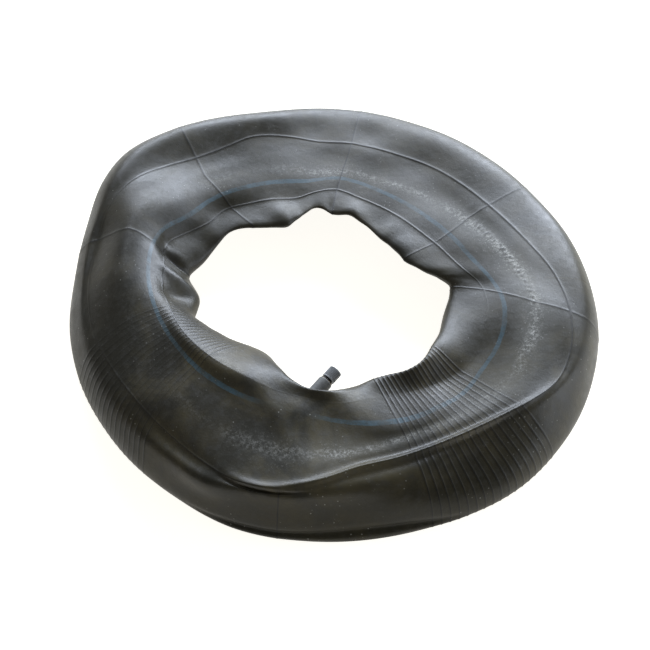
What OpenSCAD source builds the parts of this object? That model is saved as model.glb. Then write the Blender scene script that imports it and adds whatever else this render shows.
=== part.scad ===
// Inner tube for a small barrow or trolley wheel: a hollow rubber ring with a
// straight rubber-covered valve, its screw-in spring core and its dust cap.
// Millimetres. Origin: centre of the ring on the surface it lies on, +Z up.

/* [Tube] */
// Outer diameter of the ring as it lies, softly filled
tube_od = 380; // [360:1:400]
// Radial width of the ring's section
tube_width = 96; // [90:1:102]
// Height of the ring's section
tube_height = 62; // [58:1:66]
// Wall thickness of the rubber
tube_wall = 2; // [1.6:0.1:2.4]

/* [Moulded lines] */
// How far the seams and ribs stand out of the rubber
line_height = 0.5; // [0.3:0.1:0.8]
// Number of moulded lines that cross the section, evenly spaced
cross_lines = 8; // [4:1:12]
// Angle of the first of them, from +X towards +Y
cross_start = 35; // [0:1:44]

/* [Valve] */
// Place of the valve round the ring, from +X towards +Y
valve_place = 258; // [250:1:270]
// Height of the valve's foot above the floor
valve_foot_z = 20; // [18:1:26]
// Plan direction of the leaning stem, from +X towards +Y
valve_lean = 49; // [45:1:75]
// Climb of the stem above level
valve_climb = 9; // [4:1:14]
// Diameter of the rubber-covered stem
stem_d = 10.6; // [10:0.1:11]
// Length of the rubber stem from the foot
stem_length = 30; // [27:1:33]
// Length of bare threaded brass beyond the rubber
tip_length = 7.6; // [7.2:0.1:8]
// Diameter of the foot pad on the tube
pad_d = 38; // [32:1:40]
// Thickness of the foot pad
pad_t = 1.6; // [1.2:0.1:2]

/* [Dust cap] */
// Diameter of the cap over its grip ridges
cap_d = 9.7; // [9.5:0.1:10.2]
// Length of the cap
cap_length = 8.9; // [8.8:0.1:9.2]
// Number of grip ridges
cap_ridges = 36; // [24:2:40]

/* [Hidden] */

rubber = [0.13, 0.135, 0.14];
brass = [0.72, 0.56, 0.28];
fine = 96;              // facets of a turned piece's circle
slip = 0.06;            // clearance between pieces that slide or turn

// Valve standards: the cap's thread on the stem, and the core's thread in it.
cap_thread_r = 3.85;
core_thread_r = 2.6;
stem_bore_r = core_thread_r + slip;
low_bore_r = 1.9;
insert_r = 3.5;

// Heights along the valve's own axis, from the foot to the cap.
tip_top = stem_length + tip_length;
insert_bottom = -6;
seat_top = tip_top - 6.4;
seat_bottom = seat_top - 2.4;
plug_top = tip_top - 0.4;
plug_bottom = plug_top - 3.6;
barrel_top = plug_top - 1.4;
barrel_bottom = barrel_top - 9.5;
cup_top = barrel_bottom - 0.35;
cup_bottom = cup_top - 1.8;
pin_top = tip_top - 0.1;
pin_bottom = cup_bottom - 2.2;
collar_bottom = barrel_top - 1.6;
spring_bottom = barrel_bottom + 1.1;
cap_start = stem_length + 1.9;
cap_top = cap_start + cap_length;
washer_bottom = tip_top + 0.04;
washer_t = 0.9;
pocket_top = cap_top - 0.9;

// Radii inside the core.
barrel_r = 1.62;
barrel_bore_r = 1.25;
barrel_collar_r = 1.95;
barrel_collar_t = 0.8;
pin_r = 0.45;
pin_hole_r = 0.75;
cup_r = 1.5;
coil_r = 0.85;
wire_r = 0.14;
coil_turns = 6;

// Tilt of the inner and outer round seams from the section's top.
seam_tilts = [33, 13];

// The cross lines stand a little prouder than the round seams they run over.
cross_height = 1.4 * line_height;
cross_bottom = 0.7 * tube_height;

// The section: two round sides joined by level top and bottom walls.
side_r = tube_height / 2;
side_x = tube_width / 2 - side_r;
ring_r = (tube_od - tube_width) / 2;

// The valve's foot sits where its place and height meet the inner wall.
foot_drop = side_r - valve_foot_z;
foot_r = ring_r - side_x - sqrt(side_r * side_r - foot_drop * foot_drop);
foot = [foot_r * cos(valve_place), foot_r * sin(valve_place), valve_foot_z];

// Local +Z runs along the valve's axis, from the foot outwards.
module on_valve() {
    translate(foot) rotate([0, 90 - valve_climb, valve_lean]) children();
}

// Local +Z points straight out of the inner wall, whatever way the stem leans.
module on_wall() {
    translate(foot) rotate([0, 90 + asin(foot_drop / side_r), valve_place + 180])
        children();
}

// A round piece from a list of [radius, height] corners.
module turned(outline) {
    rotate_extrude($fn = fine) polygon(outline);
}

// A washer or sleeve between two radii and two heights.
module sleeve(inner, outer, bottom, top) {
    turned([[inner, bottom], [outer, bottom], [outer, top], [inner, top]]);
}

module section(grow = 0) {
    r = side_r + grow;
    for (side = [-1, 1])
        translate([ring_r + side * side_x, side_r]) circle(r = r, $fn = fine);
    translate([ring_r - side_x, side_r - r]) square([2 * side_x, 2 * r]);
}

module ring(grow = 0) {
    rotate_extrude($fn = 2 * fine) section(grow);
}

// A thin slice of the grown section: one moulded line across the tube's top.
module cross_line(place, sweep) {
    rotate([0, 0, place - sweep / 2]) rotate_extrude(angle = sweep, $fn = 2 * fine)
        intersection() {
            difference() {
                section(cross_height);
                section(-tube_wall / 2);
            }
            translate([0, cross_bottom]) square([tube_od, tube_height]);
        }
}

// A round seam that the mould's rings leave on the upper wall.
module round_seam(side, tilt) {
    rotate_extrude($fn = 2 * fine)
        translate([ring_r + side * (side_x + side_r * sin(tilt)), side_r * (1 + cos(tilt))])
            circle(r = line_height, $fn = 16);
}

// The way that the brass insert takes through the rubber.
module valve_hole() {
    on_valve() translate([0, 0, insert_bottom - 4])
        cylinder(r = insert_r, h = 24, $fn = fine);
}

module tube_casing() color(rubber) difference() {
    union() {
        ring();
        round_seam(-1, seam_tilts[0]);
        round_seam(1, seam_tilts[1]);
        for (i = [0 : cross_lines - 1])
            cross_line(cross_start + i * 360 / cross_lines, 0.5);
    }
    ring(-tube_wall);
    valve_hole();
}

// A round patch of sheet rubber, moulded to the inner wall.
module valve_foot_pad() color(rubber) difference() {
    intersection() {
        ring(pad_t);
        on_wall() translate([0, 0, -pad_d / 3])
            cylinder(d = pad_d, h = pad_d / 2, $fn = fine);
    }
    ring();
    valve_hole();
}

// The foot spreads into the pad along a quarter of an ellipse.
module valve_stem_rubber() color(rubber) {
    stem_r = stem_d / 2;
    flare_top = 8;
    flare_h = 12;
    flare_w = 6.5;
    flare = [for (a = [90 : -10 : 10])
        [stem_r + flare_w * (1 - sin(a)), flare_top - flare_h * cos(a)]];
    difference() {
        on_valve() turned(concat(
            [[insert_r, stem_length], [stem_r - 0.6, stem_length],
                [stem_r, stem_length - 0.6]],
            flare,
            [[insert_r, flare_top - flare_h * cos(10)]]));
        ring(pad_t);
    }
}

// Brass tube bonded into the rubber, with the cap's thread on its bare tip.
module valve_stem_insert() color(brass) on_valve() turned([
    [low_bore_r, insert_bottom], [insert_r, insert_bottom],
    [insert_r, stem_length], [cap_thread_r, stem_length],
    [cap_thread_r, tip_top - 0.6], [cap_thread_r - 0.5, tip_top],
    [stem_bore_r, tip_top], [stem_bore_r, seat_top],
    [low_bore_r, seat_bottom]]);

// Threaded head of the core. It swivels on the barrel's collar, and a core
// key turns it by the flats either side of its bridge.
module core_plug() color(brass) on_valve() difference() {
    turned([
        [barrel_r + slip, plug_bottom], [core_thread_r, plug_bottom],
        [core_thread_r, plug_top], [pin_hole_r + 0.1, plug_top],
        [pin_hole_r + 0.1, barrel_top + slip],
        [barrel_collar_r + slip, barrel_top + slip],
        [barrel_collar_r + slip, barrel_top - barrel_collar_t - slip],
        [barrel_r + slip, barrel_top - barrel_collar_t - slip]]);
    for (side = [-1, 1])
        translate([side * 2.5, 0, plug_top - 0.5])
            cube([2, 6, 1.4], center = true);
}

module core_barrel() color(brass) on_valve() turned([
    [pin_hole_r, barrel_bottom], [barrel_r - 0.35, barrel_bottom],
    [barrel_r, barrel_bottom + 0.4],
    [barrel_r, barrel_top - barrel_collar_t],
    [barrel_collar_r, barrel_top - barrel_collar_t],
    [barrel_collar_r, barrel_top], [barrel_bore_r, barrel_top],
    [barrel_bore_r, spring_bottom], [pin_hole_r, spring_bottom]]);

// Tapered ring that seals the barrel in the stem's conical seat.
module core_barrel_seal() color("firebrick") on_valve() {
    taper = (stem_bore_r - low_bore_r) / (seat_top - seat_bottom);
    low = seat_bottom + 0.3;
    high = seat_top - 0.2;
    turned([
        [barrel_r, low], [low_bore_r + taper * (low - seat_bottom) - 0.03, low],
        [low_bore_r + taper * (high - seat_bottom) - 0.03, high], [barrel_r, high]]);
}

// Closing spring of the core: round wire swept along a helix.
module core_spring() color("silver") on_valve() {
    steps = 14;
    sides = 6;
    rings = coil_turns * steps;
    bottom = spring_bottom + wire_r + 0.02;
    rise = collar_bottom - spring_bottom - 2 * wire_r - 0.04;
    corners = [for (i = [0 : rings], j = [0 : sides - 1])
        let (turn = 360 * i / steps, a = 360 * j / sides, r = coil_r + wire_r * cos(a))
        [r * cos(turn), r * sin(turn), bottom + rise * i / rings + wire_r * sin(a)]];
    walls = [for (i = [0 : rings - 1], j = [0 : sides - 1])
        let (k = (j + 1) % sides)
        [i * sides + j, (i + 1) * sides + j, (i + 1) * sides + k, i * sides + k]];
    ends = [[for (j = [0 : sides - 1]) j],
        [for (j = [sides - 1 : -1 : 0]) rings * sides + j]];
    polyhedron(corners, concat(walls, ends));
}

module core_pin() color(brass) on_valve() union() {
    translate([0, 0, pin_bottom]) cylinder(r = pin_r, h = pin_top - pin_bottom, $fn = fine);
    translate([0, 0, pin_top - 0.9]) cylinder(r = pin_r + 0.2, h = 0.9, $fn = fine);
    translate([0, 0, collar_bottom]) cylinder(r = barrel_bore_r - 0.15, h = 0.6, $fn = fine);
}

module core_cup() color(brass) on_valve() turned([
    [pin_r, cup_bottom], [cup_r - 0.4, cup_bottom], [cup_r, cup_bottom + 0.5],
    [cup_r, cup_top], [cup_r - 0.2, cup_top], [cup_r - 0.2, cup_top - 0.9],
    [pin_r, cup_top - 0.9]]);

// Rubber ring in the cup. It closes on the barrel's lower rim.
module core_cup_seal() color("black") on_valve()
    sleeve(pin_r, cup_r - 0.2, cup_top - 0.9, barrel_bottom - 0.02);

// Cap with grip ridges above a plain skirt, and a pocket over the core.
module dust_cap() color([0.17, 0.175, 0.18]) on_valve() difference() {
    tooth = [[-0.32, 0.28], [-0.18, 0], [0.18, 0], [0.32, 0.28]];
    intersection() {
        translate([0, 0, cap_start]) linear_extrude(cap_length) polygon([
            for (i = [0 : cap_ridges - 1], p = tooth)
                let (a = (i + p[0]) * 360 / cap_ridges, r = cap_d / 2 - p[1])
                [r * cos(a), r * sin(a)]]);
        turned([[0, cap_start], [cap_d / 2 - 0.4, cap_start], [cap_d / 2 + 0.1, cap_start + 0.6],
            [cap_d / 2 + 0.1, cap_top - 0.9], [cap_d / 2 - 0.8, cap_top], [0, cap_top]]);
    }
    translate([0, 0, cap_start - 1])
        cylinder(r = cap_thread_r + slip, h = washer_bottom + washer_t - cap_start + 1, $fn = fine);
    cylinder(r = core_thread_r + 0.3, h = pocket_top, $fn = fine);
}

// Soft ring under the cap's roof. It seals on the end of the stem.
module dust_cap_washer() color("black") on_valve()
    sleeve(core_thread_r + 0.15, cap_thread_r, washer_bottom, washer_bottom + washer_t - 0.02);

tube_casing();
valve_foot_pad();
valve_stem_rubber();
valve_stem_insert();
core_plug();
core_barrel();
core_barrel_seal();
core_spring();
core_pin();
core_cup();
core_cup_seal();
dust_cap();
dust_cap_washer();
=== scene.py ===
"""Looks of an inner tube: a soft rubber ring on a pale floor, with its valve, core and cap."""
import math
import bpy
import numpy as np
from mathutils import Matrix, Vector
from mathutils.bvhtree import BVHTree


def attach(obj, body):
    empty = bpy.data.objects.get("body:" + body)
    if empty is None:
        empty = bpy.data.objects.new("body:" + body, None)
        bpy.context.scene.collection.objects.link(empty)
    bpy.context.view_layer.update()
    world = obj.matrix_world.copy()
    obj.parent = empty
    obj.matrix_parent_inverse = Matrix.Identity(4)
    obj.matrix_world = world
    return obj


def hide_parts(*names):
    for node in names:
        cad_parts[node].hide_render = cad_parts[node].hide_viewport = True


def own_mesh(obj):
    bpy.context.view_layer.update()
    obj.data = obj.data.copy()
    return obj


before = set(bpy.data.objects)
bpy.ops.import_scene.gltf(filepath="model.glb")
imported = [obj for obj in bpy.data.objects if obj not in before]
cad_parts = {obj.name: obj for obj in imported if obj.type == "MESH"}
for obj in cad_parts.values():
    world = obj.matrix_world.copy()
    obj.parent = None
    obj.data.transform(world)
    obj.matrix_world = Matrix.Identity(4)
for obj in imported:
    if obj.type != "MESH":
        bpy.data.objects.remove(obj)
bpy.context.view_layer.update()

MM = 0.001

# ---------------------------------------------------------------- the casing's lines
# Each line runs round the ring on the rubber: (angle in degrees, radius, height in mm).
# Angle 0 is +X and 90 is away from the viewer. The valve sits near 258.
HOLE_EDGE = [
    (0, 89, 37.5), (4, 88, 38.2), (7, 81, 39.7), (11, 72, 41), (16, 66, 42), (22, 61, 42),
    (31, 60.5, 42), (42, 60, 42), (52, 60.5, 42), (60, 64, 42), (69, 67.5, 42), (77, 72, 42),
    (83, 70, 42), (88, 71, 42), (93, 76.5, 42), (98, 76.5, 42), (103, 72, 42.5), (110, 67, 43),
    (117, 64, 43), (123, 69, 42), (130, 76, 41), (137, 87, 39), (141, 91, 38), (148, 93, 36),
    (155, 95, 33), (162, 98.5, 32), (167, 103.5, 31), (171, 102, 31), (176, 96, 31),
    (181, 93, 32), (187, 95, 33), (191.5, 97.5, 33), (196, 94, 34), (202, 88, 35),
    (208, 82.5, 36), (216, 76.5, 37), (225, 71.5, 38), (236, 71.5, 40), (247, 81, 47),
    (256, 91.1, 51.5), (263, 96.1, 52), (270, 97.7, 52.5), (277, 92.5, 46), (284, 86, 38),
    (290, 86, 42), (297, 89, 46), (306, 95.5, 51), (313, 96, 52), (321, 92.5, 50), (331, 90, 45),
    (341, 87.5, 40), (350, 87, 37)]
INNER_SEAM = [
    (1, 109, 45), (8, 100.8, 44), (27, 90.3, 43), (42, 87, 43), (60, 88.7, 43), (75, 92.5, 43),
    (85, 97.5, 43), (95, 94.5, 43), (105, 91.5, 42), (117, 97.6, 42), (127, 105, 40),
    (134, 111, 39), (145, 110, 41), (155, 118, 43), (161, 123, 46), (168, 121, 48), (181, 117, 50),
    (190, 114, 53), (201, 112, 57), (213, 110, 59), (226, 107, 59), (237, 105, 58),
    (250, 103.5, 53), (262, 103.5, 50.5), (275, 106.2, 49.5), (284, 103, 46), (295, 107, 45),
    (306, 112, 44), (316, 116, 42), (325, 119, 43), (341, 117, 48), (352, 114, 47.5)]
STRIPE = [
    (0.7, 118, 48), (10.7, 110.2, 45.2), (28, 103.9, 44), (47, 101.5, 43.7), (65, 103.6, 43.7),
    (85, 109.6, 43.7), (98, 106.6, 43.7), (113, 113.6, 43.7), (123, 118, 44), (135, 122, 45),
    (149, 123, 48), (159, 129, 53), (166, 130, 55), (179, 127, 56), (193, 123, 57), (202, 121, 57),
    (214, 119, 56), (226, 118, 55), (234, 117, 54), (244, 116, 53), (259, 114, 51),
    (274, 118.2, 47), (287, 124.5, 47), (296, 127.7, 45.5), (305, 129.1, 45), (314, 130.6, 44),
    (324, 129, 45), (333, 130, 48), (342, 129, 51), (351, 125, 51.5)]
CROWN = [
    (0.4, 139, 52.2), (15.3, 131.2, 48.2), (30, 125.3, 45.2), (60, 123, 44.5), (85, 129, 44.5),
    (105, 133.6, 44.7), (120, 139.5, 45.7), (135, 143, 50), (146, 145, 57), (155, 149, 61),
    (165, 149, 61), (178, 146, 59), (195, 142, 55), (215, 138, 52), (235, 138, 51), (248, 137, 49),
    (262, 137, 46.5), (275, 137, 45), (290, 137, 44.5), (302, 139, 44.5), (314, 144, 46),
    (325, 148, 49), (338, 149, 53), (350, 147, 55)]
OUTER_SEAM = [
    (0, 163, 53), (11, 153, 52), (31, 144.7, 48.2), (43, 144.5, 47), (57, 145.6, 46),
    (67, 144.7, 46), (82, 148, 46), (92, 149, 46), (101, 157.5, 46.4), (112, 164, 48),
    (119, 162, 48), (129, 162, 50), (139, 168, 54), (146, 174, 56), (155, 178, 53), (167, 174, 46),
    (183, 171, 43), (193, 168, 43), (206, 163, 45), (216, 161, 46), (231, 162, 45), (242, 166, 45),
    (251, 170, 45), (258, 168.1, 44), (264, 164.2, 45), (269, 160.2, 45.5), (277, 152.8, 44.5),
    (286, 151.3, 44), (296, 151.9, 44.5), (303, 154.2, 45.5), (310, 158.4, 47.5),
    (316, 163.4, 49.5), (322, 169.8, 51.5), (330, 176.5, 51.5), (338, 177, 52), (347, 173, 53)]
WALL_TOP = [
    (0, 181, 51), (15, 178, 51), (30, 175, 50), (45, 172, 49.5), (60, 173, 49.5), (78, 175, 47.5),
    (90, 177, 48), (103, 180, 51.5), (115, 182, 54), (130, 188, 59), (140, 193, 58), (150, 191, 55),
    (160, 185, 48), (172, 180, 42), (190, 177, 38), (215, 173, 39), (235, 174, 40), (247, 176, 41),
    (255, 174.5, 41), (262, 172.5, 41), (270, 168, 41.5), (280, 165.5, 41.5), (292, 163.8, 41.5),
    (305, 165.6, 42), (314, 171.8, 44.5), (322, 178.3, 47.5), (335, 186, 47), (348, 186, 48)]
WALL_MID = [
    (0, 191, 40), (30, 186, 42), (60, 187.5, 43), (75, 190.5, 43), (90, 193, 43.5), (103, 194, 44),
    (115, 195, 48), (130, 204, 48), (140, 209, 47), (150, 204, 44), (160, 195, 37),
    (172, 188, 32), (190, 184, 28), (215, 180, 28), (235, 180, 27), (250, 180, 27),
    (262, 177, 28), (272, 172, 29), (284, 174, 30), (296, 180, 31), (308, 188, 33),
    (320, 191, 35), (335, 193, 36), (348, 194, 37)]
WALL_LOW = [
    (0, 194, 22), (30, 190, 23), (60, 189, 25), (90, 190, 26), (115, 195, 27), (130, 206, 27),
    (140, 209, 26), (150, 203, 26), (160, 195, 22), (172, 190, 18), (190, 187, 15),
    (215, 183, 14), (235, 183, 13), (248, 184, 13), (258, 183, 12.5), (268, 181, 12.5),
    (278, 180, 12.5), (288, 183, 13), (298, 190, 14), (310, 196, 17), (325, 197, 20),
    (345, 196, 22)]
FOOT = [
    (0, 185, 5), (60, 181, 5), (90, 182, 5), (115, 187, 6), (138, 200, 6), (155, 190, 6),
    (172, 182, 5), (215, 178, 4), (240, 178, 4), (252, 182, 5), (265, 182, 5), (280, 183, 5),
    (291, 184, 5), (300, 184, 5), (325, 186, 5), (345, 187, 5)]

# How far the wall tucks back below the hole's edge: (angle, mm).
TUCK = [
    (0, 12), (8, 32), (22, 34), (50, 32), (90, 36), (128, 36), (142, 30), (152, 20), (172, 8),
    (215, 6), (243, 6), (256, 1), (270, 1), (282, 6), (300, 6), (345, 6)]
# How the rubber has crept round: extra degrees at the hole's edge and at the outer wall.
CREEP = [
    (8, 2, 1), (32, -7, 1), (58, 0, 0), (84, 4, -2), (108, 2, -4), (131, 1, -5), (163, 4, 3),
    (185, -2, 4), (208, -3, 5), (235, -1, 3), (260, 0, 0), (305, 0, 0), (332, 4, -1),
    (350, 12, -2)]
# Folds, dents and swellings: (angle, mm outward from the stripe along the rubber,
# half width in degrees, half width in mm, slant in mm per degree, height in mm).
DENTS = [
    (96, 53, 6, 8, 0, -1.6), (79, 53, 6, 8, 0, -1.8),
    (165, -20, 1.8, 13, -3.4, -4.5), (160, -10, 1.5, 6, -3.4, -2), (177, -22, 4.5, 8, -1.5, 4),
    (187, -22, 4, 9, 0, -5),
    (85, -30, 2, 6, 0, -2), (112, -26, 6, 8, 0, 2), (153, 14, 9, 8, 0, 2.2),
    (257, 51, 8, 3, 0.5, -3), (256, 45.5, 8, 3.5, 0.5, 0.9), (38, -28, 5, 7, 0, 0.8),
    (58, -26, 4, 8, 0, -1.5), (72, -28, 4, 7, 0, 1.5), (256, 10, 9, 7, 2.1, 0.8),
    (241, 62, 7, 9, 0, 2.5), (232, 48, 8, 8, 0, -2), (335, 38, 8, 9, 0, -1),
    (148, 38, 9, 9, 0, 1.5)]
# Slow unevenness of the soft wall: (waves round the ring, slant in radians per mm along the
# rubber, phase, height in mm).
WAVES = [(5, 0.045, 0, 0.35), (9, -0.07, 1.3, 0.22), (17, 0.11, 0.6, 0.12)]
# How sharply the outer seam stands up as the ridge of the fold: (angle, strength).
RIDGE = [(244, 0), (252, 0.35), (264, 0.5), (277, 0.9), (310, 1), (322, 0.4), (332, 0)]
# The crease low on the near wall, and the roll below it: (angle, strength).
LIP = [(236, 0), (244, 0.6), (250, 1), (285, 1), (292, 0.7), (300, 0)]
# Their shapes at full strength: (line they follow, mm outward from it, half width, height).
RIDGE_SHAPE = [("oseam", -0.5, 2.8, 2.8), ("oseam", 6, 3.5, -0.6), ("oseam", -8, 5, -0.8)]
LIP_SHAPE = [("low", 6, 4, 3.0), ("low", -0.5, 1.9, -3.2)]

# Moulded lines: how clearly the round seams show at each angle, where lines cross the
# section, and banks of fine ribs (first angle, pitch in degrees, number).
INNER_SHOW = [(0, 0.5), (20, 1), (150, 1), (170, 0.6), (200, 0.9), (225, 0.7), (240, 0.15),
              (290, 0.1), (325, 0.25)]
OUTER_SHOW = [(20, 1), (140, 1), (165, 0.3), (195, 0.35), (215, 0.7), (250, 0.8), (262, 0.1),
              (315, 0.1), (325, 1), (350, 0.9)]
CROSS_SEAMS = [31, 83, 131.5, 165, 260, 350]
# This line across is nearly smoothed away above the ridge.
HIDDEN_SEAM = 260
RIB_BANKS = [(196.5, 1.75, 17), (291.5, 1.75, 17)]
# Angles of the plain bars that stand for the moulded size mark.
MARKS = [-8 + 2.1 * i for i in range(18)]
# In mm, how far these stand out of the rubber and half how wide they are.
SEAM_HIGH = 0.34
INNER_SEAM_HALF = 0.55
OUTER_SEAM_HALF = 0.6
ACROSS_HIGH = 0.2
ACROSS_HALF = 0.62
RIB_HALF = 0.5
MARK_HIGH = 0.35
MARK_HALF = 0.75
LONG_MARK = 2.4
SHORT_MARK = 1.3
# The streak of talc: (angle, mm outward from the stripe, strength).
TALC = [
    (0, 22, 1.0), (29, 18, 0.9), (55, 13, 0.55), (88, 6, 0.5), (110, 12, 0.15), (180, 18, 0.05),
    (215, 22, 0.05), (240, 24, 0.12), (258, 25, 0.4), (272, 25, 0.6), (308, 20, 0.55),
    (330, 20, 0.7)]

# How fine the casing's grid is: columns to a rib's pitch, and gaps between columns in degrees
# (at a line across, under the mark, elsewhere) and between rows in mm.
RIB_COLUMNS = 8
ACROSS_GAP = 0.26
MARK_GAP = 0.6
COLUMN_GAP = 1.2
SEAM_ROW_GAP = 0.5
MARK_ROW_GAP = 0.95
EDGE_ROW_GAP = 1.6
ROW_GAP = 2.7
SIDE_ROW_GAP = 4.2
FLOOR_ROW_GAP = 9.0


def round_the_ring(keys, angles):
    """A smooth closed curve through the keys, at each angle."""
    k = np.array(keys, float)
    n = len(keys)
    k = np.vstack([k[-3:], k, k[:3]])
    k[:3, 0] -= 360
    k[n + 3:, 0] += 360
    a = np.asarray(angles, float) % 360
    return through(k[:, 0], k[:, 1:], a)


def slopes(x, v):
    """Tangents of a smooth curve with values v at the places x, along v's first axis."""
    h = np.diff(x).reshape(-1, *[1] * (v.ndim - 1))
    rise = np.diff(v, axis=0) / h
    m = np.zeros_like(v)
    m[1:-1] = (rise[:-1] * h[1:] + rise[1:] * h[:-1]) / (h[1:] + h[:-1])
    return m


def cubic(t):
    """Weights of a cubic's start, start tangent, end and end tangent, at t from 0 to 1."""
    return 2 * t**3 - 3 * t**2 + 1, t**3 - 2 * t**2 + t, -2 * t**3 + 3 * t**2, t**3 - t**2


def through(x, v, where):
    """A smooth curve through the values v at the places x, read at where."""
    m = slopes(x, v)
    i = np.clip(np.searchsorted(x, where, side="right") - 1, 0, len(x) - 2)
    shape = [-1] + [1] * (v.ndim - 1)
    w = (x[i + 1] - x[i]).reshape(shape)
    start, leave, end, arrive = cubic((where - x[i]).reshape(shape) / w)
    return start * v[i] + leave * w * m[i] + end * v[i + 1] + arrive * w * m[i + 1]


def ramp_round(keys, angles, column=1):
    """Straight-line values round the ring."""
    k = np.array(keys, float)
    return np.interp(np.asarray(angles) % 360, k[:, 0], k[:, column], period=360)


def spread(anchors, stop, gap_at):
    """The anchors from 0 to stop, with the gaps filled no wider than gap_at says."""
    anchors = sorted({round(a, 4) for a in anchors if 0 < a < stop} | {0.0})
    out = []
    for a, b in zip(anchors, anchors[1:] + [stop]):
        n = max(1, math.ceil((b - a) / gap_at(0.5 * (a + b)) - 0.01))
        out += [a + (b - a) * i / n for i in range(n)]
    return np.array(out)


def turned_apart(a, b):
    """Signed difference of two angles in degrees."""
    return (a - b + 180) % 360 - 180


def bell(x, width):
    """A bump of height 1 at x = 0 that has mostly gone at the width."""
    return np.exp(-(x / width) ** 2)


def soft_step(x, width):
    """From 0 to 1 as x passes 0."""
    return 1 / (1 + np.exp(-x / width))


def smooth(grid, times):
    """The closed grid with each value drawn towards its four neighbours."""
    for _ in range(times):
        for axis in (0, 1):
            beside = np.roll(grid, 1, axis) + np.roll(grid, -1, axis)
            grid = grid + 0.25 * (beside - 2 * grid)
    return grid


def normals(p):
    """Outward directions on the closed grid of points."""
    n = np.cross(np.roll(p, -1, 1) - np.roll(p, 1, 1), np.roll(p, -1, 0) - np.roll(p, 1, 0))
    return n / np.maximum(np.linalg.norm(n, axis=2, keepdims=True), 1e-9)


def mesh_object(name, verts, faces, sharp=None):
    """A smooth-shaded object, with edges sharper than the given degrees kept crisp."""
    me = bpy.data.meshes.new(name)
    me.from_pydata([tuple(v) for v in verts], [], [tuple(f) for f in faces])
    me.update()
    me.polygons.foreach_set("use_smooth", [True] * len(me.polygons))
    if sharp is not None:
        me.set_sharp_from_angle(angle=math.radians(sharp))
    ob = bpy.data.objects.new(name, me)
    bpy.context.scene.collection.objects.link(ob)
    return ob


def casing_columns():
    """Angles round the ring, finest at the ribs and the lines across."""
    anchors = []
    for start, pitch, count in RIB_BANKS:
        steps = range(-RIB_COLUMNS, RIB_COLUMNS * count + 1)
        anchors += [start + pitch * i / RIB_COLUMNS for i in steps]
    for s in CROSS_SEAMS:
        anchors += [s + ACROSS_GAP * i for i in range(-3, 4)]
    return spread(anchors, 360.0, lambda a: MARK_GAP if a < 32 or a > 351 else COLUMN_GAP)


def casing_rows(at, total):
    """Distances along the section, finest at the round seams, the mark and the lip."""
    anchors = []
    for key in ("iseam", "oseam"):
        anchors += [at[key] + SEAM_ROW_GAP * i for i in range(-3, 4)]

    def gap(s):
        if at["crown"] - 6 < s < at["crown"] + 4:
            return MARK_ROW_GAP
        if abs(s - at["low"]) < 9 or abs(s - at["edge"]) < 7:
            return EDGE_ROW_GAP
        if s < at["bot_in"] or s > at["bot_out"]:
            return FLOOR_ROW_GAP
        if s < at["edge"] or s > at["low"]:
            return SIDE_ROW_GAP
        return ROW_GAP
    return spread(anchors, total, gap)


def section_lines(a):
    """The section's points at the angles a, from under the ring, up its hole and down outside."""
    lines = [round_the_ring(k, a) for k in (HOLE_EDGE, INNER_SEAM, STRIPE, CROWN, OUTER_SEAM,
                                            WALL_TOP, WALL_MID, WALL_LOW, FOOT)]
    r, z = lines[0].T
    tuck = ramp_round(TUCK, a)
    low_in = np.stack([r + tuck, z * 0.45], 1)
    bot_in = np.stack([r + tuck + 10, 0 * z], 1)
    bot_out = np.stack([lines[-1][:, 0] - 15, 0 * z], 1)
    return np.stack([0.5 * (bot_in + bot_out), bot_in, low_in, *lines, bot_out], 1)


# What section_lines gives, in order.
ROW_NAMES = ["bot_mid", "bot_in", "low_in", "edge", "iseam", "stripe", "crown", "oseam", "top",
             "mid", "low", "foot", "bot_out"]


def laid_rubber(knots, at, angles, rows):
    """Points of the smooth ring at each angle and each distance along the section."""
    # A closed curve through each section's points, with the same knots all round.
    total = knots[-1]
    c = np.moveaxis(section_lines(angles), 1, 0)
    ext = np.concatenate([c[-2:], c, c[:3]])
    places = np.concatenate([knots[-3:-1] - total, knots[:-1], knots[:3] + total])
    rz = np.moveaxis(through(places, ext, rows), 0, 1)

    # The rubber creeps round the ring, more and more inwards and outwards of the crown,
    # and the section is read where it has come to lie.
    creep = round_the_ring(CREEP, angles)
    inner = np.clip((at["crown"] - rows) / (at["crown"] - at["edge"]), 0, 1)
    outer = np.clip((rows - at["crown"]) / (at["mid"] - at["crown"]), 0, 1)
    under_in = np.clip(rows / at["edge"], 0, 1)
    under_out = np.clip((total - rows) / (total - at["low"]), 0, 1)
    deg = angles[:, None] + creep[:, :1] * (inner * under_in) + creep[:, 1:] * (outer * under_out)
    wrapped = np.concatenate([angles - 360, angles, angles + 360])
    lain = np.empty_like(rz)
    for j in range(len(rows)):
        for axis in (0, 1):
            lain[:, j, axis] = np.interp(deg[:, j], wrapped, np.tile(rz[:, j, axis], 3))
    plan = np.radians(deg)
    return np.stack([lain[..., 0] * np.cos(plan), lain[..., 0] * np.sin(plan), lain[..., 1]], 2)


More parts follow.
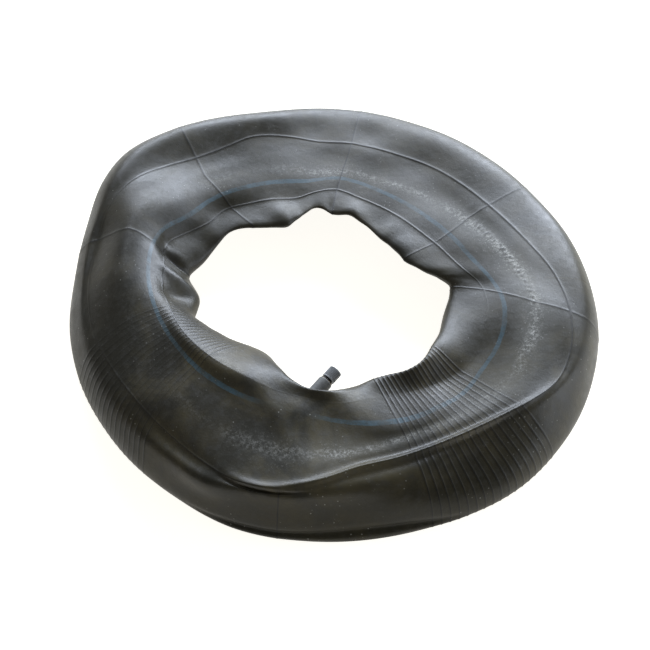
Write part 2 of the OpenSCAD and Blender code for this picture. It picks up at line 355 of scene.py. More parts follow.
def slack(z, A, S, at):
    """How far unevenness and folds lift the soft wall. A and S are grids of the angle and of
    the distance along the section."""
    out = S - at["stripe"]
    ar = np.radians(A)
    lift = sum(high * np.sin(n * ar + S * slant + phase) for n, slant, phase, high in WAVES)
    # Fine puckers at the hole's edge, stronger on the far side but not near angle 20.
    pucker = 0.25 * np.sin(31 * ar + 2.2 * np.sin(7 * ar)) * bell(S - at["edge"] - 6, 12)
    lift += pucker * (0.7 + 0.3 * np.sin(ar)) * (1 - 0.9 * bell(turned_apart(A, 20), 16))
    for angle, place, wide, long, slant, height in DENTS:
        da = turned_apart(A, angle)
        lift += height * bell(da, wide) * bell(out - place - slant * da, long)
    for strength, shape in ((LIP, LIP_SHAPE), (RIDGE, RIDGE_SHAPE)):
        for line, place, long, height in shape:
            lift += ramp_round(strength, A) * height * bell(S - at[line] - place, long)
    return lift * soft_step(z - 12, 3)


def moulding(p, A, S, at):
    """How far moulded lines and marks stand out, and where the lines and the marks are."""
    out = S - at["stripe"]
    degree = np.pi / 180 * np.hypot(p[..., 0], p[..., 1])
    line = np.maximum(bell(S - at["iseam"], INNER_SEAM_HALF) * ramp_round(INNER_SHOW, A),
                      bell(S - at["oseam"], OUTER_SEAM_HALF) * ramp_round(OUTER_SHOW, A))
    raised = SEAM_HIGH * line
    beyond_ridge = soft_step(S - at["oseam"] - 4, 1.5)
    for s in CROSS_SEAMS:
        shown = 0.15 + 0.85 * beyond_ridge if s == HIDDEN_SEAM else 1.0
        across_it = shown * bell(np.abs(turned_apart(A, s)) * degree, ACROSS_HALF)
        line = np.maximum(line, across_it)
        raised = np.maximum(raised, ACROSS_HIGH * across_it)
    # Ribs stand highest near the hole's edge and beyond the ridge. The first bank is faint
    # between those.
    rib_high = 0.12 + 0.14 * beyond_ridge + 0.16 * bell(out + 26, 15)
    faint = 0.6 + 0.4 * bell(out + 22, 18) + 0.4 * bell(out - 72, 22)
    for (start, pitch, count), shown in zip(RIB_BANKS, (faint, 1.0)):
        phase = (A - start) / pitch
        k = np.round(phase)
        on = (k >= 0) & (k < count)
        rib = on * shown * bell(np.abs(phase - k) * pitch * degree, RIB_HALF)
        line = np.maximum(line, rib)
        raised = np.maximum(raised, rib_high * rib)
    raised *= soft_step(p[..., 2] - 5, 1.5)
    mark = np.zeros_like(A)
    for i, a in enumerate(MARKS):
        tall = LONG_MARK if i % 3 else SHORT_MARK
        away = np.abs(turned_apart(A, a)) * degree
        mark += bell(away, MARK_HALF) * soft_step(tall - np.abs(S - at["crown"]), 0.35)
    return raised + MARK_HIGH * mark, line, mark


def build_casing():
    """The ring as one closed grid: columns round the ring, rows along its section."""
    even = section_lines(np.linspace(0, 360, 144, endpoint=False))
    steps = np.linalg.norm(np.roll(even, -1, 1) - even, axis=2).mean(0)
    knots = np.concatenate([[0], np.cumsum(steps)])
    at = dict(zip(ROW_NAMES, knots))
    angles = casing_columns()
    rows = casing_rows(at, knots[-1])
    A, S = np.meshgrid(angles, rows, indexing="ij")

    p = smooth(laid_rubber(knots, at, angles, rows), 2)
    p = p + normals(p) * slack(p[..., 2], A, S, at)[..., None]
    p = smooth(p, 1)
    raised, line, mark = moulding(p, A, S, at)
    p = p + normals(p) * raised[..., None]

    # The underside rests flat on the floor.
    z = p[..., 2]
    p[..., 2] = np.maximum(np.where(z < 1, 0.25 * (z + 1) ** 2, z), 0)
    p[:, (rows < at["bot_in"]) | (rows > at["bot_out"]), 2] = 0

    here = np.arange(A.size).reshape(A.shape)
    there = np.roll(here, -1, 0)
    faces = np.stack([here, np.roll(here, -1, 1), np.roll(there, -1, 1), there], 2).reshape(-1, 4)
    ob = mesh_object("casing", p.reshape(-1, 3) * MM, faces)
    out = S - at["stripe"]
    paint(ob, "around", A)
    paint(ob, "across", out)
    # Where the material paints shade along the moulded lines and marks.
    paint(ob, "line", np.maximum(line, 0.8 * mark))
    paint(ob, "talc_away", out - ramp_round(TALC, A))
    paint(ob, "talc_shown", ramp_round(TALC, A, 2))
    return ob


# ---------------------------------------------------------------- the valve
# Sizes in mm as on the CAD valve. Heights run along its own axis, from its foot.
VALVE_PLACE = 258
VALVE_LEAN = 49
VALVE_CLIMB = 9
FOOT_R = 96.02
FOOT_Z = 20
WALL_DIP = 20.8
PAD_R = 19
PAD_T = 1.6
STEM_R = 5.3
STEM_TOP = 30
FLARE_R = 11
FLARE_H = 6
INSERT_R = 3.5
BRASS_BOTTOM = -6
COLLAR_R = 4.6
COLLAR_HIGH = 0.9
CAP_PITCH = 0.794
THREAD_R = 3.85
THREAD_DEEP = 0.42
TIP_TOP = 37.6
CORE_PITCH = 0.706
CORE_BORE_R = 2.66
CORE_THREAD_DEEP = 0.18
SEAT_TOP = 31.2
SEAT_BOTTOM = 28.8
AIR_WAY_R = 1.9
CAP_BOTTOM = 31.9
CAP_TOP = 40.8
CAP_R = 4.85
CAP_RIDGES = 36
RIDGES_DEEP = 0.27
RIDGES_FROM_R = 4.3
CAP_BORE_R = 3.91
CAP_THREAD_DEEP = 0.24
CAP_BORE_TOP = 38.54
POCKET_R = 2.9
POCKET_TOP = 39.9
SPRING_BOTTOM = 27.4
SPRING_TOP = 34.2
WIRE_R = 0.14
COIL_R = 0.85
COIL_TURNS = 6
# The casing's wall under the pad is felt for from this far above it, and where it is missed
# it counts as this high.
FEEL_FROM = 25
WALL_MISSED = -3


def aimed(turn, climb):
    """A direction: turn degrees from +X towards +Y, climb degrees above level."""
    t, c = math.radians(turn), math.radians(climb)
    return np.array((math.cos(c) * math.cos(t), math.cos(c) * math.sin(t), math.sin(c)))


AXIS = aimed(VALVE_LEAN, VALVE_CLIMB)
WALL_OUT = aimed(VALVE_PLACE + 180, -WALL_DIP)
VALVE_FOOT = FOOT_R * aimed(VALVE_PLACE, 0) + (0, 0, FOOT_Z)
SIDE = np.cross(AXIS, (0, 0, 1))
SIDE /= np.linalg.norm(SIDE)
CROSS = np.cross(AXIS, SIDE)


def on_valve(r, angle, w):
    """Points at radius r and angle round the valve's axis, w along it."""
    r, angle, w = (np.asarray(v, float)[..., None] for v in np.broadcast_arrays(r, angle, w))
    return VALVE_FOOT + w * AXIS + r * (np.cos(angle) * SIDE + np.sin(angle) * CROSS)


def skin(name, rings, filled=False, sharp=None):
    """A closed skin over rings of points. The end rings are filled, or joined to each other."""
    n, m = rings.shape[:2]
    here = np.arange(n * m).reshape(n, m)
    there = here[1:] if filled else np.roll(here, -1, 0)
    low = here[:-1] if filled else here
    faces = np.stack([low, np.roll(low, -1, 1), np.roll(there, -1, 1), there], 2).reshape(-1, 4)
    p = rings.reshape(-1, 3)
    q = p[faces] - p.mean(0)
    volume = sum(np.einsum("ij,ij->i", q[:, 0], np.cross(q[:, i], q[:, i + 1])).sum()
                 for i in (1, 2))
    faces = faces.tolist()
    if filled:
        faces += [here[0, ::-1].tolist(), here[-1].tolist()]
    if volume < 0:
        faces = [f[::-1] for f in faces]
    return mesh_object(name, p * MM, faces, sharp)


def from_axis(ob):
    """How far each vertex is from the valve's axis, and how far along it."""
    co = np.array([v.co for v in ob.data.vertices]) / MM - VALVE_FOOT
    along = co.dot(AXIS)
    return np.linalg.norm(co - along[:, None] * AXIS, axis=1), along


def paint(ob, name, values):
    """A number at each vertex for the material to read."""
    attribute = ob.data.attributes.new(name, "FLOAT", "POINT")
    attribute.data.foreach_set("value", np.asarray(values, np.float32).reshape(-1))


def outline(corners, gap, closed=True):
    """Points no further than gap apart on (radius, height, rounding) corners."""
    c = np.array(corners, float)
    points = []
    for i, (r, w, rounding) in enumerate(c):
        here = np.array((r, w))
        if not rounding:
            points.append(here)
            continue
        back, ahead = c[i - 1, :2] - here, c[(i + 1) % len(c), :2] - here
        back *= rounding / np.linalg.norm(back)
        ahead *= rounding / np.linalg.norm(ahead)
        points += [here + (1 - t) ** 2 * back + t * t * ahead for t in np.linspace(0, 1, 6)]
    ends = points[1:] + points[:1] if closed else points[1:]
    out = []
    for a, b in zip(points, ends):
        n = max(1, math.ceil(np.linalg.norm(b - a) / gap - 0.01))
        out += [a + (b - a) * i / n for i in range(n)]
    return np.array(out if closed else out + [points[-1]])


def lathe(name, corners, gap, columns, shape=None, filled=False, sharp=None):
    """A turned piece about the valve's axis. shape(r, w, angle) gives its threads or ridges."""
    line = outline(corners, gap, not filled)
    angle = np.linspace(0, 2 * math.pi, columns, endpoint=False)
    r, a = np.meshgrid(line[:, 0], angle, indexing="ij")
    w = np.repeat(line[:, 1:], columns, 1)
    if shape:
        r = shape(r, w, a)
    return skin(name, on_valve(r, a, w), filled, sharp)


def thread(w, angle, pitch, first, last):
    """How full a right-handed thread is: 0 at its root, 1 at its crest."""
    turn = np.abs((w / pitch - angle / (2 * math.pi)) % 1 - 0.5)
    runs_out = np.clip(np.minimum(w - first, last - w) / (0.6 * pitch), 0, 1)
    return np.clip((0.40 - turn) / 0.26, 0, 1) * runs_out


def felt_wall(tree, flat):
    """How far the casing's wall stands above each of the flat points, smoothed."""
    wall = np.zeros(flat.shape[:2])
    for i, j in np.ndindex(*wall.shape):
        above = flat[i, j] + FEEL_FROM * WALL_OUT
        hit = tree.ray_cast(above * MM, -WALL_OUT, 2 * FEEL_FROM * MM)
        wall[i, j] = FEEL_FROM - hit[3] / MM if hit[0] else WALL_MISSED
    for _ in range(6):
        wall[1:-1] += 0.5 * (0.5 * (wall[2:] + wall[:-2]) - wall[1:-1])
        wall += 0.25 * (np.roll(wall, 1, 1) + np.roll(wall, -1, 1) - 2 * wall)
    return wall


def build_pad_and_stem(tree):
    """The foot pad follows the wall it is bonded to, and the stem's foot spreads into it."""
    columns = 96
    angle = np.linspace(0, 2 * math.pi, columns, endpoint=False)
    outside = VALVE_FOOT + 40 * AXIS
    centre = np.array(tree.ray_cast(outside * MM, -AXIS, 0.06)[0]) / MM
    level = SIDE - SIDE.dot(WALL_OUT) * WALL_OUT
    level /= np.linalg.norm(level)
    upright = np.cross(WALL_OUT, level)
    radii = np.concatenate([np.linspace(0.6, 15, 15), np.linspace(15.5, PAD_R, 12)])
    spoke = np.cos(angle)[:, None] * level + np.sin(angle)[:, None] * upright
    flat = centre + radii[:, None, None] * spoke
    wall = felt_wall(tree, flat)
    # The pad thins out to its rounded rim, just inside of which runs a fine bead.
    fade = np.clip((PAD_R - radii) / 2.6, 0, 1)
    thick = PAD_T * np.sqrt(1 - (1 - fade) ** 2) - 0.35 + 0.3 * bell(radii - 16, 0.45)
    top = flat + (wall + thick[:, None])[..., None] * WALL_OUT
    under = flat + (wall - 0.9)[..., None] * WALL_OUT
    pad = skin("foot_pad", np.concatenate([under, top[::-1]]), True)

    # The flare leaves the pad along its face and joins the stem along the valve's axis.
    pierced = (centre - VALVE_FOOT).dot(AXIS)
    high = np.array([np.interp(FLARE_R, radii, wall[:, j] + thick) for j in range(columns)])
    foot = centre + FLARE_R * spoke + (high - 0.25)[:, None] * WALL_OUT
    neck = on_valve(STEM_R, angle, pierced + FLARE_H)
    rings = []
    for t in np.linspace(0, 1, 16):
        start, leave, end, arrive = cubic(t)
        rings.append(start * foot + leave * (-9 * spoke) + end * neck + arrive * (9 * AXIS))
    # A fine mould line runs up both sides of the stem.
    for w in np.arange(math.ceil(pierced + FLARE_H + 1), STEM_TOP - 0.9, 0.5):
        rings.append(on_valve(STEM_R + 0.10 * bell(np.sin(angle), 0.045), angle, w))
    for t in np.linspace(0, math.pi / 2, 7):
        rings.append(on_valve(STEM_R - 0.7 * (1 - math.cos(t)), angle,
                              STEM_TOP - 0.7 * (1 - math.sin(t))))
    rings.append(on_valve(INSERT_R + 0.5, angle, STEM_TOP - 0.05))
    for w in (STEM_TOP - 0.15, 0.5 * STEM_TOP, pierced - 1):
        rings.append(on_valve(INSERT_R, angle, w))
    rings.append(foot - 1.0 * WALL_OUT)
    stem = skin("stem_rubber", np.array(rings), False, 50)
    return pad, stem


def build_insert():
    """Brass tube with the cap's thread on its tip and the core's thread and seat inside."""
    def cut(r, w, angle):
        cap = thread(w, angle, CAP_PITCH, STEM_TOP + 1.2, TIP_TOP - 0.3)
        core = thread(w, angle, CORE_PITCH, SEAT_TOP + 1, TIP_TOP - 0.2)
        tip = (np.abs(r - THREAD_R) < 0.01) & (w > STEM_TOP + 1)
        r = np.where(tip, r - THREAD_DEEP * (1 - cap), r)
        bore = np.abs(r - CORE_BORE_R) < 0.01
        return np.where(bore, r + CORE_THREAD_DEEP * (1 - core), r)

    ob = lathe("brass_stem", [
        (INSERT_R, BRASS_BOTTOM, 0), (INSERT_R, STEM_TOP - 0.1, 0), (COLLAR_R, STEM_TOP, 0.1),
        (COLLAR_R, STEM_TOP + COLLAR_HIGH, 0.25), (THREAD_R, STEM_TOP + 1.1, 0),
        (THREAD_R, TIP_TOP - 0.5, 0), (THREAD_R - 0.45, TIP_TOP, 0.1),
        (CORE_BORE_R, TIP_TOP, 0.1), (CORE_BORE_R, SEAT_TOP, 0), (AIR_WAY_R, SEAT_BOTTOM, 0),
        (AIR_WAY_R, BRASS_BOTTOM, 0)], 0.12, 96, cut, sharp=50)
    # Painted shade: the brass is blackened and made non-metallic about the cap's lower edge, where
    # its thread lies in shade, but not inside.
    across, along = from_axis(ob)
    below_cap = np.clip((along - STEM_TOP - 0.25) / 0.2, 0, 1) * np.clip((33 - along) / 0.8, 0, 1)
    paint(ob, "painted_thread_shade", below_cap * (across > 3))
    return ob


def build_cap():
    """Cap with fine grip ridges above a plain rim, a threaded bore and a pocket."""
    def cut(r, w, angle):
        tooth = np.abs(CAP_RIDGES * angle / (2 * math.pi) % 1 - 0.5)
        groove = np.clip((tooth - 0.22) / 0.16, 0, 1)
        groove = groove * np.clip((w - CAP_BOTTOM - 0.9) / 0.35, 0, 1)
        groove = groove * np.clip((CAP_TOP - 0.12 - w) / 0.4, 0, 1)
        full = thread(w, angle, CAP_PITCH, CAP_BOTTOM + 0.3, CAP_BORE_TOP - 0.24)
        r = np.where(r > RIDGES_FROM_R, r - RIDGES_DEEP * groove, r)
        bore = np.abs(r - CAP_BORE_R) < 0.01
        return np.where(bore, r + CAP_THREAD_DEEP * (1 - full), r)

    ob = lathe("valve_cap", [
        (0.3, CAP_TOP - 0.1, 0), (3.2, CAP_TOP - 0.1, 0), (3.5, CAP_TOP, 0),
        (CAP_R, CAP_TOP, 0.85), (CAP_R, CAP_BOTTOM, 0.22), (CAP_BORE_R, CAP_BOTTOM, 0.1),
        (CAP_BORE_R, CAP_BORE_TOP, 0), (POCKET_R, CAP_BORE_TOP, 0), (POCKET_R, POCKET_TOP, 0.3),
        (0.3, POCKET_TOP, 0)], 0.16, 8 * CAP_RIDGES, cut, True, 40)
    # Painted shade darkens the grooves.
    across, along = from_axis(ob)
    groove_shade = np.clip((CAP_R - 0.05 - across) / 0.2, 0, 1) * (across > RIDGES_FROM_R)
    groove_shade *= np.clip((along - CAP_BOTTOM - 0.6) / 0.3, 0, 1)
    groove_shade *= np.clip((CAP_TOP - 0.8 - along) / 0.4, 0, 1)
    paint(ob, "groove", groove_shade)
    return ob


def build_spring():
    """Closing spring of round wire, with its turns closer together at both ends."""
    t = np.linspace(0, 1, 28 * COIL_TURNS + 1)
    room = SPRING_TOP - SPRING_BOTTOM - 2 * WIRE_R - 0.04
    w = SPRING_BOTTOM + WIRE_R + 0.02 + room * (t - 0.6 * np.sin(2 * math.pi * t) / (2 * math.pi))
    around = np.linspace(0, 2 * math.pi, 10, endpoint=False)
    rings = on_valve(COIL_R + WIRE_R * np.cos(around), (2 * math.pi * COIL_TURNS * t)[:, None],
                     w[:, None] + WIRE_R * np.sin(around))
    return skin("closing_spring", rings, True, 60)


# ---------------------------------------------------------------- materials
# Colours are linear red, green and blue.
RUBBER_BLACK = (0.0160, 0.0152, 0.0100)
RUBBER_BROWN = (0.0205, 0.0186, 0.0110)
BLOOM = (0.062, 0.051, 0.023)
MOTTLE_GREY = (0.036, 0.035, 0.030)
STRIPE_BLUE = (0.040, 0.082, 0.108)
TALC_WHITE = (0.52, 0.52, 0.49)
DUST = (0.13, 0.13, 0.125)
# Painted shade, for the casing's moulded lines and for the brass by the cap.
PAINTED_SHADE_BLACK = (0.006, 0.006, 0.006)
SEAL_BLACK = (0.016, 0.016, 0.016)
SEAL_RED = (0.35, 0.04, 0.03)
PAD_BLACK = (0.018, 0.018, 0.016)
STEM_GREY = (0.125, 0.128, 0.127)
STEM_DUST = (0.26, 0.26, 0.255)
CAP_GREY = (0.24, 0.252, 0.268)
STEEL_LIGHT = (0.55, 0.55, 0.56)
STEEL_DARK = (0.42, 0.41, 0.40)
PAPER_DARK = (0.62, 0.60, 0.54)
PAPER_LIGHT = (0.64, 0.62, 0.56)
PAPER_GLOW = (1.0, 0.98, 0.93, 1)
SKY_LIGHT = (1.0, 0.97, 0.88, 1)
SOFTBOX_LIGHT = (0.80, 0.875, 1.0)


class Nodes:
    """A short way to build a material's nodes."""

    def __init__(self, name):
        self.mat = bpy.data.materials.new(name)
        self.mat.use_nodes = True
        self.tree = self.mat.node_tree
        self.shader = self.tree.nodes["Principled BSDF"]
        self.coord = self.tree.nodes.new("ShaderNodeTexCoord").outputs["Object"]

    def put(self, socket, value):
        """Links a node's output to the socket, or sets the socket to a plain value."""
        if isinstance(value, bpy.types.NodeSocket):
            self.tree.links.new(value, socket)
        else:
            socket.default_value = value

    def noise(self, scale, detail, rough=0.55, vector=None, distort=0.0):
        n = self.tree.nodes.new("ShaderNodeTexNoise")
        self.put(n.inputs["Vector"], vector or self.coord)
        n.inputs["Scale"].default_value = scale
        n.inputs["Detail"].default_value = detail
        n.inputs["Roughness"].default_value = rough
        n.inputs["Distortion"].default_value = distort
        return n.outputs["Fac"]

    def cells(self, scale):
        """Distance to the nearest of many scattered points."""
        n = self.tree.nodes.new("ShaderNodeTexVoronoi")
        self.put(n.inputs["Vector"], self.coord)
        n.inputs["Scale"].default_value = scale
        return n.outputs["Distance"]

    def math(self, op, a, b=0.0, clamp=False):
        n = self.tree.nodes.new("ShaderNodeMath")
        n.operation = op
        n.use_clamp = clamp
        self.put(n.inputs[0], a)
        self.put(n.inputs[1], b)
        return n.outputs[0]

    def plus(self, a, b, clamp=False):
        return self.math("ADD", a, b, clamp)

    def away(self, value, middle):
        """How far the value is from the middle, either way."""
        return self.math("ABSOLUTE", self.math("SUBTRACT", value, middle))

    def times(self, *values):
        out = values[0]
        for v in values[1:]:
            out = self.math("MULTIPLY", out, v)
        return out

    def ramp(self, value, low, high, to_low=0.0, to_high=1.0, kind="SMOOTHSTEP"):
        """Carries values from low to high over to to_low to to_high, and stops there."""
        n = self.tree.nodes.new("ShaderNodeMapRange")
        n.interpolation_type = kind
        for s, v in zip(n.inputs, (value, low, high, to_low, to_high)):
            self.put(s, v)
        return n.outputs[0]

    def evenly(self, value, to_low, to_high):
        """Carries 0 to 1 over to to_low to to_high evenly."""
        return self.ramp(value, 0, 1, to_low, to_high, "LINEAR")

    def mix(self, fac, a, b):
        """Colour a where fac is 0, colour b where it is 1."""
        n = self.tree.nodes.new("ShaderNodeMix")
        n.data_type = "RGBA"
        self.put(n.inputs[0], fac)
        for socket, value in ((n.inputs[6], a), (n.inputs[7], b)):
            self.put(socket, value + (1,) if isinstance(value, tuple) else value)
        return n.outputs[2]

    def attribute(self, name):
        n = self.tree.nodes.new("ShaderNodeAttribute")
        n.attribute_name = name
        return n.outputs["Fac"]

    def stretch(self, x, y, z):
        n = self.tree.nodes.new("ShaderNodeMapping")
        self.put(n.inputs["Vector"], self.coord)
        n.inputs["Scale"].default_value = (x, y, z)
        return n.outputs["Vector"]

    def bump(self, height, strength, distance, under=None):
        n = self.tree.nodes.new("ShaderNodeBump")
        n.inputs["Strength"].default_value = strength
        n.inputs["Distance"].default_value = distance
        self.put(n.inputs["Height"], height)
        if under is not None:
            self.put(n.inputs["Normal"], under)
        return n.outputs["Normal"]

    def finish(self, color, rough, normal=None, **sockets):
        """Connects the shader and gives the material. A socket's spaces are underscores."""
        self.put(self.shader.inputs["Base Color"], color)
        self.put(self.shader.inputs["Roughness"], rough)
        if normal is not None:
            self.put(self.shader.inputs["Normal"], normal)
        for key, value in sockets.items():
            self.put(self.shader.inputs[key.replace("_", " ")], value)
        return self.mat


def shade(color, much):
    """The colour made that much lighter or darker."""
    return tuple(much * c for c in color)


def casing_rubber():
    """Black butyl: olive-brown bloom, mottling, painted shade along the moulded lines and on the
    near walls, blue stripe and talc.
    """
    m = Nodes("butyl_rubber")
    around, across, line = (m.attribute(n) for n in ("around", "across", "line"))
    cloud = m.noise(9, 3, 0.5)
    patch = m.noise(24, 5, 0.62, distort=0.7)
    mottle = m.noise(170, 5, 0.7)
    grain = m.noise(1400, 3, 0.6)
    color = m.mix(m.ramp(cloud, 0.38, 0.62), RUBBER_BLACK, RUBBER_BROWN)
    near_side = m.ramp(m.away(around, 270), 20, 110, 1.0, 0.35)
    # Painted shade: the near and left outer walls carry less bloom, which darkens them, and are
    # duller than the rest.
    shaded_walls = m.ramp(m.away(around, 240), 45, 115, 1.0, 0.0)
    painted_wall_shade = m.times(m.ramp(across, 48, 74), shaded_walls)
    bloom = m.times(m.ramp(patch, 0.37, 0.70), near_side, m.evenly(painted_wall_shade, 1.0, 0.35))
    color = m.mix(bloom, color, BLOOM)
    color = m.mix(m.ramp(mottle, 0.46, 0.72, 0, 0.45), color, MOTTLE_GREY)
    # Blue stripe, worn thin in places and nearly gone at the front.
    edge = m.math("ABSOLUTE", m.plus(across, m.evenly(m.noise(230, 2), -0.5, 0.5)))
    worn = m.ramp(m.noise(70, 5, 0.75), 0.34, 0.62, 0.25, 0.85)
    gap = m.ramp(m.away(around, 257), 7, 19, 0.06, 1.0)
    stripe = m.times(m.ramp(edge, 1.3, 2.1, 1.0, 0.0), worn, gap)
    color = m.mix(stripe, color, STRIPE_BLUE)
    # Talc: a fine broken streak in a faint haze, with specks and wiped smears elsewhere.
    talc_away = m.math("ABSOLUTE", m.attribute("talc_away"))
    shown = m.attribute("talc_shown")
    fine = m.ramp(m.noise(420, 6, 0.8), 0.44, 0.66)
    finer = m.ramp(m.noise(650, 4, 0.8), 0.54, 0.7, 0, 0.7)
    core = m.times(m.ramp(talc_away, 1.0, 5.5, 1.0, 0.0), fine)
    halo = m.times(m.ramp(talc_away, 2.0, 13.0, 1.0, 0.0), finer)
    haze = m.times(m.ramp(talc_away, 2.0, 20.0, 0.16, 0.0), shown)
    broken = m.ramp(m.noise(34, 4, 0.6), 0.36, 0.6, 0.25, 1.0)
    streak = m.times(m.math("MAXIMUM", core, halo), shown, broken)
    dusty = m.ramp(m.noise(38, 3, 0.6), 0.50, 0.62)
    speck = m.times(m.ramp(m.cells(260), 0.08, 0.15, 1.0, 0.0), dusty)
    wiped = m.ramp(m.noise(60, 6, 0.8, vector=m.stretch(1, 1.6, 1)), 0.6, 0.78)
    smear = m.times(wiped, m.ramp(m.noise(11, 2), 0.5, 0.66, 0, 0.35))
    loose = m.plus(m.times(speck, 0.35), m.plus(smear, haze))
    talc = m.plus(m.times(streak, 1.3), loose, clamp=True)
    color = m.mix(m.times(talc, 0.8), color, TALC_WHITE)
    # Painted shade darkens the rubber along the moulded lines, ribs and marks.
    color = m.mix(m.ramp(line, 0.25, 0.8, 0, 0.75), color, PAINTED_SHADE_BLACK)
    rough = m.ramp(patch, 0.3, 0.7, 0.39, 0.48)
    rough = m.plus(rough, m.ramp(mottle, 0.4, 0.7, -0.03, 0.06))
    rough = m.plus(rough, m.times(talc, 0.3), clamp=True)
    normal = m.bump(m.noise(55, 3, 0.6), 0.18, 0.001)
    normal = m.bump(mottle, 0.35, 0.0005, normal)
    normal = m.bump(grain, 0.35, 0.00012, normal)
    return m.finish(color, rough, normal, Specular_IOR_Level=m.evenly(painted_wall_shade, 0.48, 0.2))


def plain_rubber(name, base, rough=0.5, dusty=DUST):
    """Smooth black or grey rubber with a little dust."""
    m = Nodes(name)
    cloud = m.noise(180, 4, 0.6)
    dust = m.ramp(m.noise(700, 5, 0.7), 0.5, 0.72, 0, 0.5)
    color = m.mix(m.ramp(cloud, 0.35, 0.65), base, shade(base, 1.6))
    color = m.mix(dust, color, dusty)
    normal = m.bump(m.noise(2600, 3), 0.35, 0.00008)
    return m.finish(color, m.ramp(cloud, 0.3, 0.7, rough - 0.06, rough + 0.08), normal)


def turned_brass(name, base, dark, tarnished=0.55, painted_shade_attribute=None):
    """Brass with fine turning lines and darker tarnish. Painted shade, black and not metallic, lies
    where the attribute says.
    """
    m = Nodes(name)
    tarnish = m.ramp(m.noise(300, 5, 0.65), tarnished - 0.15, tarnished + 0.15)
    color = m.mix(tarnish, base, dark)
    normal = m.bump(m.noise(2400, 2, 0.5, vector=m.stretch(1, 1, 6)), 0.25, 0.00005)
    metal = 1.0
    # Painted shade: black and not metallic where the attribute says.
    if painted_shade_attribute:
        painted_thread_shade = m.attribute(painted_shade_attribute)
        color = m.mix(painted_thread_shade, color, PAINTED_SHADE_BLACK)
        metal = m.math("SUBTRACT", 1.0, painted_thread_shade)
    return m.finish(color, m.ramp(tarnish, 0, 1, 0.24, 0.42), normal, Metallic=metal)


def moulded_plastic(name, base, level=0.5, groove_shade_attribute=None):
    """Scuffed plastic. Painted shade lies where the attribute says."""
    m = Nodes(name)
    cloud = m.noise(260, 4, 0.6)
    scuff = m.ramp(m.noise(900, 5, 0.75), 0.56, 0.74, 0, 0.4)
    color = m.mix(m.ramp(cloud, 0.35, 0.7), base, shade(base, 1.35))
    color = m.mix(scuff, color, shade(base, 1.8))
    # Painted shade: darker where the attribute says.
    if groove_shade_attribute:
        color = m.mix(m.attribute(groove_shade_attribute), color, shade(base, 0.3))
    normal = m.bump(m.noise(3200, 3), 0.4, 0.00006)
    rough = m.ramp(cloud, 0.3, 0.7, 0.3, 0.44)
    return m.finish(color, rough, normal, Specular_IOR_Level=level)


def drawn_steel(name):
    """Bright spring wire."""
    m = Nodes(name)
    cloud = m.noise(500, 4, 0.6)
    color = m.mix(m.ramp(cloud, 0.35, 0.7), STEEL_LIGHT, STEEL_DARK)
    normal = m.bump(m.noise(3000, 2), 0.2, 0.00003)
    return m.finish(color, m.ramp(cloud, 0.3, 0.7, 0.22, 0.36), normal, Metallic=1.0)


def wear(ob, mat):
    """The object gets this material and no other."""
    ob.data.materials.clear()
    ob.data.materials.append(mat)


# ---------------------------------------------------------------- the pieces
casing = build_casing()
wear(casing, casing_rubber())
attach(casing, "tube")
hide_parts("tube_casing")

surface = casing.data
rubber_wall = BVHTree.FromPolygons([v.co for v in surface.vertices],
                                   [f.vertices for f in surface.polygons])
foot_pad, stem_rubber = build_pad_and_stem(rubber_wall)
spring = build_spring()
made = [
    (foot_pad, "tube", "valve_foot_pad", "pad_rubber", plain_rubber("pad_rubber", PAD_BLACK)),
    (stem_rubber, "tube", "valve_stem_rubber", "stem_rubber",
     plain_rubber("stem_rubber", STEM_GREY, 0.55, STEM_DUST)),
    (build_insert(), "tube", "valve_stem_insert", "valve_brass",
     turned_brass("valve_brass", (0.50, 0.36, 0.17), (0.10, 0.07, 0.04), 0.45, "painted_thread_shade")),
    (build_cap(), "cap", "dust_cap", "cap_plastic",
     moulded_plastic("cap_plastic", CAP_GREY, 0.6, "groove")),
    (spring, "core_barrel", "core_spring", "spring_steel", drawn_steel("spring_steel")),
]
for piece, body, node, slot, mat in made:
    wear(piece, mat)
    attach(piece, body)
    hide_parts(node)
tuple(on_valve(0, 0, SPRING_BOTTOM) * MM)
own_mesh(spring)

# The pieces that keep their CAD meshes.
looks = {
    "core_plug": turned_brass("core_brass", (0.70, 0.55, 0.28), (0.40, 0.29, 0.14)),
    "core_barrel": turned_brass("barrel_brass", (0.66, 0.52, 0.28), (0.38, 0.28, 0.14)),
    "core_barrel_seal": moulded_plastic("barrel_seal", SEAL_RED),
    "core_pin": turned_brass("pin_brass", (0.70, 0.56, 0.30), (0.45, 0.33, 0.16)),
    "core_cup": turned_brass("cup_brass", (0.66, 0.52, 0.27), (0.38, 0.28, 0.14)),
    "core_cup_seal": plain_rubber("cup_seal_rubber", SEAL_BLACK),
    "dust_cap_washer": plain_rubber("cap_washer_rubber", SEAL_BLACK),
}
for node, mat in looks.items():
    wear(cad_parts[node], mat)

# ---------------------------------------------------------------- floor, light, camera
FLOOR_SIZE = 20
# The floor glows a little, so that it comes out as white as the photo's background.
FLOOR_GLOW = 0.95
SKY_STRENGTH = 0.20
CAMERA_CLIMB = 52.2
CAMERA_AWAY = 0.76
CAMERA_AIM = (-0.0012, -0.003, 0)
CAMERA_LENS = 56

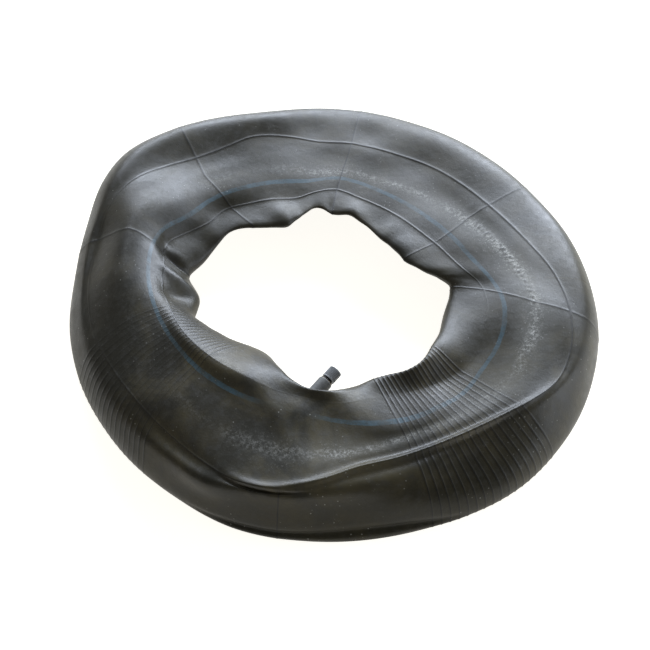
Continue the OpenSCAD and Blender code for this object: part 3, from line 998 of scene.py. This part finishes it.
bpy.ops.mesh.primitive_plane_add(size=FLOOR_SIZE)
floor = bpy.context.object
floor.name = "floor"
paper = Nodes("floor_paper")
paper_color = paper.mix(paper.noise(6, 3), PAPER_DARK, PAPER_LIGHT)
wear(floor, paper.finish(paper_color, 0.9, Specular_IOR_Level=0.2, Emission_Color=PAPER_GLOW,
                         Emission_Strength=FLOOR_GLOW))


def facing(place, aim):
    """The turn that points a light or camera from its place at its aim."""
    return (Vector(aim) - Vector(place)).to_track_quat("-Z", "Y").to_euler()


def softbox(name, place, aim, size, power):
    """A cool rectangular light of the given width and height in metres."""
    light = bpy.data.lights.new(name, "AREA")
    light.shape = "RECTANGLE"
    light.size, light.size_y = size
    light.energy = power
    light.color = SOFTBOX_LIGHT
    ob = bpy.data.objects.new(name, light)
    ob.location = place
    ob.rotation_euler = facing(place, aim)
    bpy.context.scene.collection.objects.link(ob)


softbox("back_softbox", (0.15, 1.60, 0.72), (0, 0, 0.03), (2.3, 0.75), 60)
softbox("high_softbox", (0.45, 1.15, 1.15), (0.05, 0.05, 0.03), (0.7, 0.5), 5)
softbox("right_softbox", (0.75, 0.90, 0.62), (0.12, 0, 0.03), (0.8, 0.5), 8)
softbox("side_softbox", (1.60, -0.30, 0.53), (0, 0, 0.03), (1.1, 0.8), 9)

world = bpy.data.worlds.new("studio")
bpy.context.scene.world = world
world.use_nodes = True
sky = world.node_tree.nodes["Background"]
sky.inputs["Color"].default_value = SKY_LIGHT
sky.inputs["Strength"].default_value = SKY_STRENGTH
bpy.context.scene.view_settings.view_transform = "Standard"

climb = math.radians(CAMERA_CLIMB)
camera = bpy.data.cameras.new("camera")
camera.lens = CAMERA_LENS
camera.sensor_width = 36
camera_ob = bpy.data.objects.new("camera", camera)
back_and_up = Vector((0, -math.cos(climb), math.sin(climb)))
camera_ob.location = Vector(CAMERA_AIM) + CAMERA_AWAY * back_and_up
camera_ob.rotation_euler = facing(camera_ob.location, CAMERA_AIM)
bpy.context.scene.collection.objects.link(camera_ob)
bpy.context.scene.camera = camera_ob
